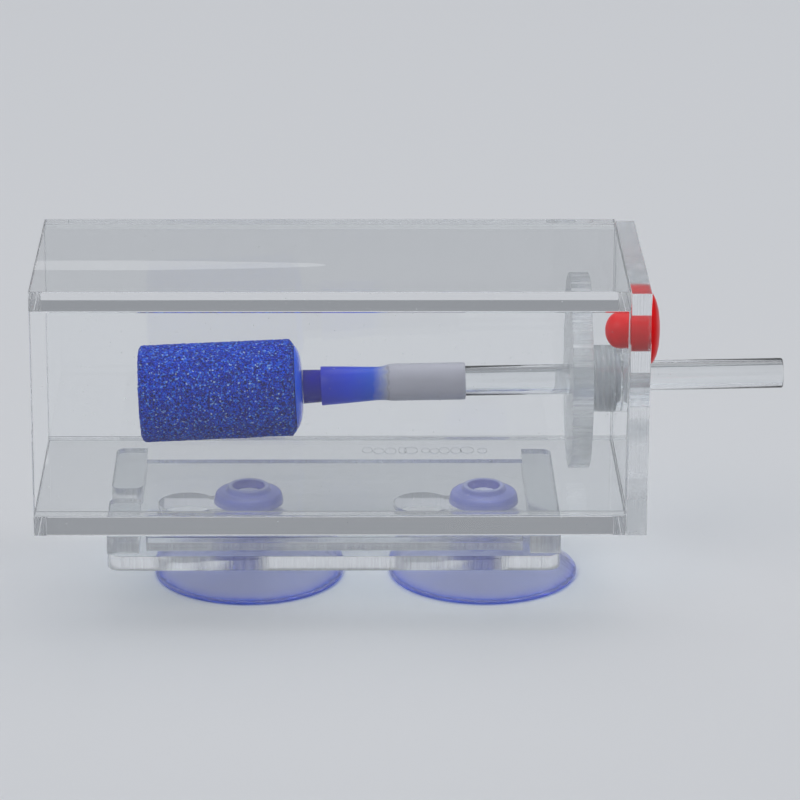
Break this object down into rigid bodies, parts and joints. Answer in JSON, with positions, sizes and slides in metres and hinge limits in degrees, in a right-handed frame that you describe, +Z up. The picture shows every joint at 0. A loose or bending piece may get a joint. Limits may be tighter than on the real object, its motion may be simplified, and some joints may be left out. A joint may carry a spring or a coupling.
{
  "type": "aquarium aeration chamber",
  "caption": "Clear square acrylic chamber, open at one end, with an air stone on a sliding air tube through a screw gland, a vent plug and suction cups below.",
  "frame": {"origin": "centre of the bounding box in plan, at the height of the suction cups' rims", "axes": "+X along the chamber from its open end to the air inlet, +Y from the front face to the back, +Z up"},
  "size_m": [0.1485, 0.0514, 0.0664],
  "materials": {
    "clear_acrylic": "clear polished cast acrylic with saw-cut edges",
    "red_silicone": "smooth red silicone",
    "frosted_silicone": "milky translucent silicone",
    "blue_stone": "bonded mineral grains, coarse and porous",
    "blue_plastic": "glossy blue moulded plastic",
    "lilac_vinyl": "translucent lilac-blue soft vinyl"
  },
  "bodies": {
    "chamber": {"bottom_panel": "clear_acrylic", "top_panel": "clear_acrylic", "front_panel": "clear_acrylic", "back_panel": "clear_acrylic", "end_plate": "clear_acrylic", "gland_boss": "clear_acrylic", "gland_o_ring": "frosted_silicone", "tab_front_left": "clear_acrylic", "tab_rear_left": "clear_acrylic", "strip_right": "clear_acrylic", "front_bar": "clear_acrylic", "bracket_plate": "clear_acrylic"},
    "plug": {"vent_plug": "red_silicone"},
    "thrust_ring": {"gland_washer": "clear_acrylic"},
    "nut": {"gland_disc": "clear_acrylic", "gland_stem": "clear_acrylic"},
    "air_line": {"air_tube": "clear_acrylic", "hose_coupler": "frosted_silicone", "stone_nipple": "blue_plastic", "stone_end_cap": "blue_plastic", "air_stone": "blue_stone"},
    "cup_left": {"suction_cup_left": "lilac_vinyl"},
    "cup_right": {"suction_cup_right": "lilac_vinyl"}
  },
  "joints": [
    {"name": "plug_pull", "type": "slide", "parent": "chamber", "child": "plug", "axis": [1, 0, 0], "range_m": [0, 0.012]},
    {"name": "tube_slide", "type": "slide", "parent": "chamber", "child": "air_line", "axis": [0.9998, 0, 0.0185], "range_m": [-0.018, 0.014]},
    {"name": "nut_travel", "type": "slide", "parent": "chamber", "child": "thrust_ring", "axis": [-1, 0, 0], "range_m": [0, 0.0038]},
    {"name": "nut_turn", "type": "hinge", "parent": "thrust_ring", "child": "nut", "pos_m": [0.0333, 0.00065, 0.041], "axis": [-1, 0, 0], "range_deg": [0, 1080]},
    {"name": "cup_left_slide", "type": "slide", "parent": "chamber", "child": "cup_left", "axis": [-1, 0, 0], "range_m": [0, 0.0115]},
    {"name": "cup_right_slide", "type": "slide", "parent": "chamber", "child": "cup_right", "axis": [-1, 0, 0], "range_m": [0, 0.009]}
  ],
  "couplings": [
    {"joint": "nut_travel", "follows": "nut_turn", "m_per_rad": 0.00019894}
  ]
}
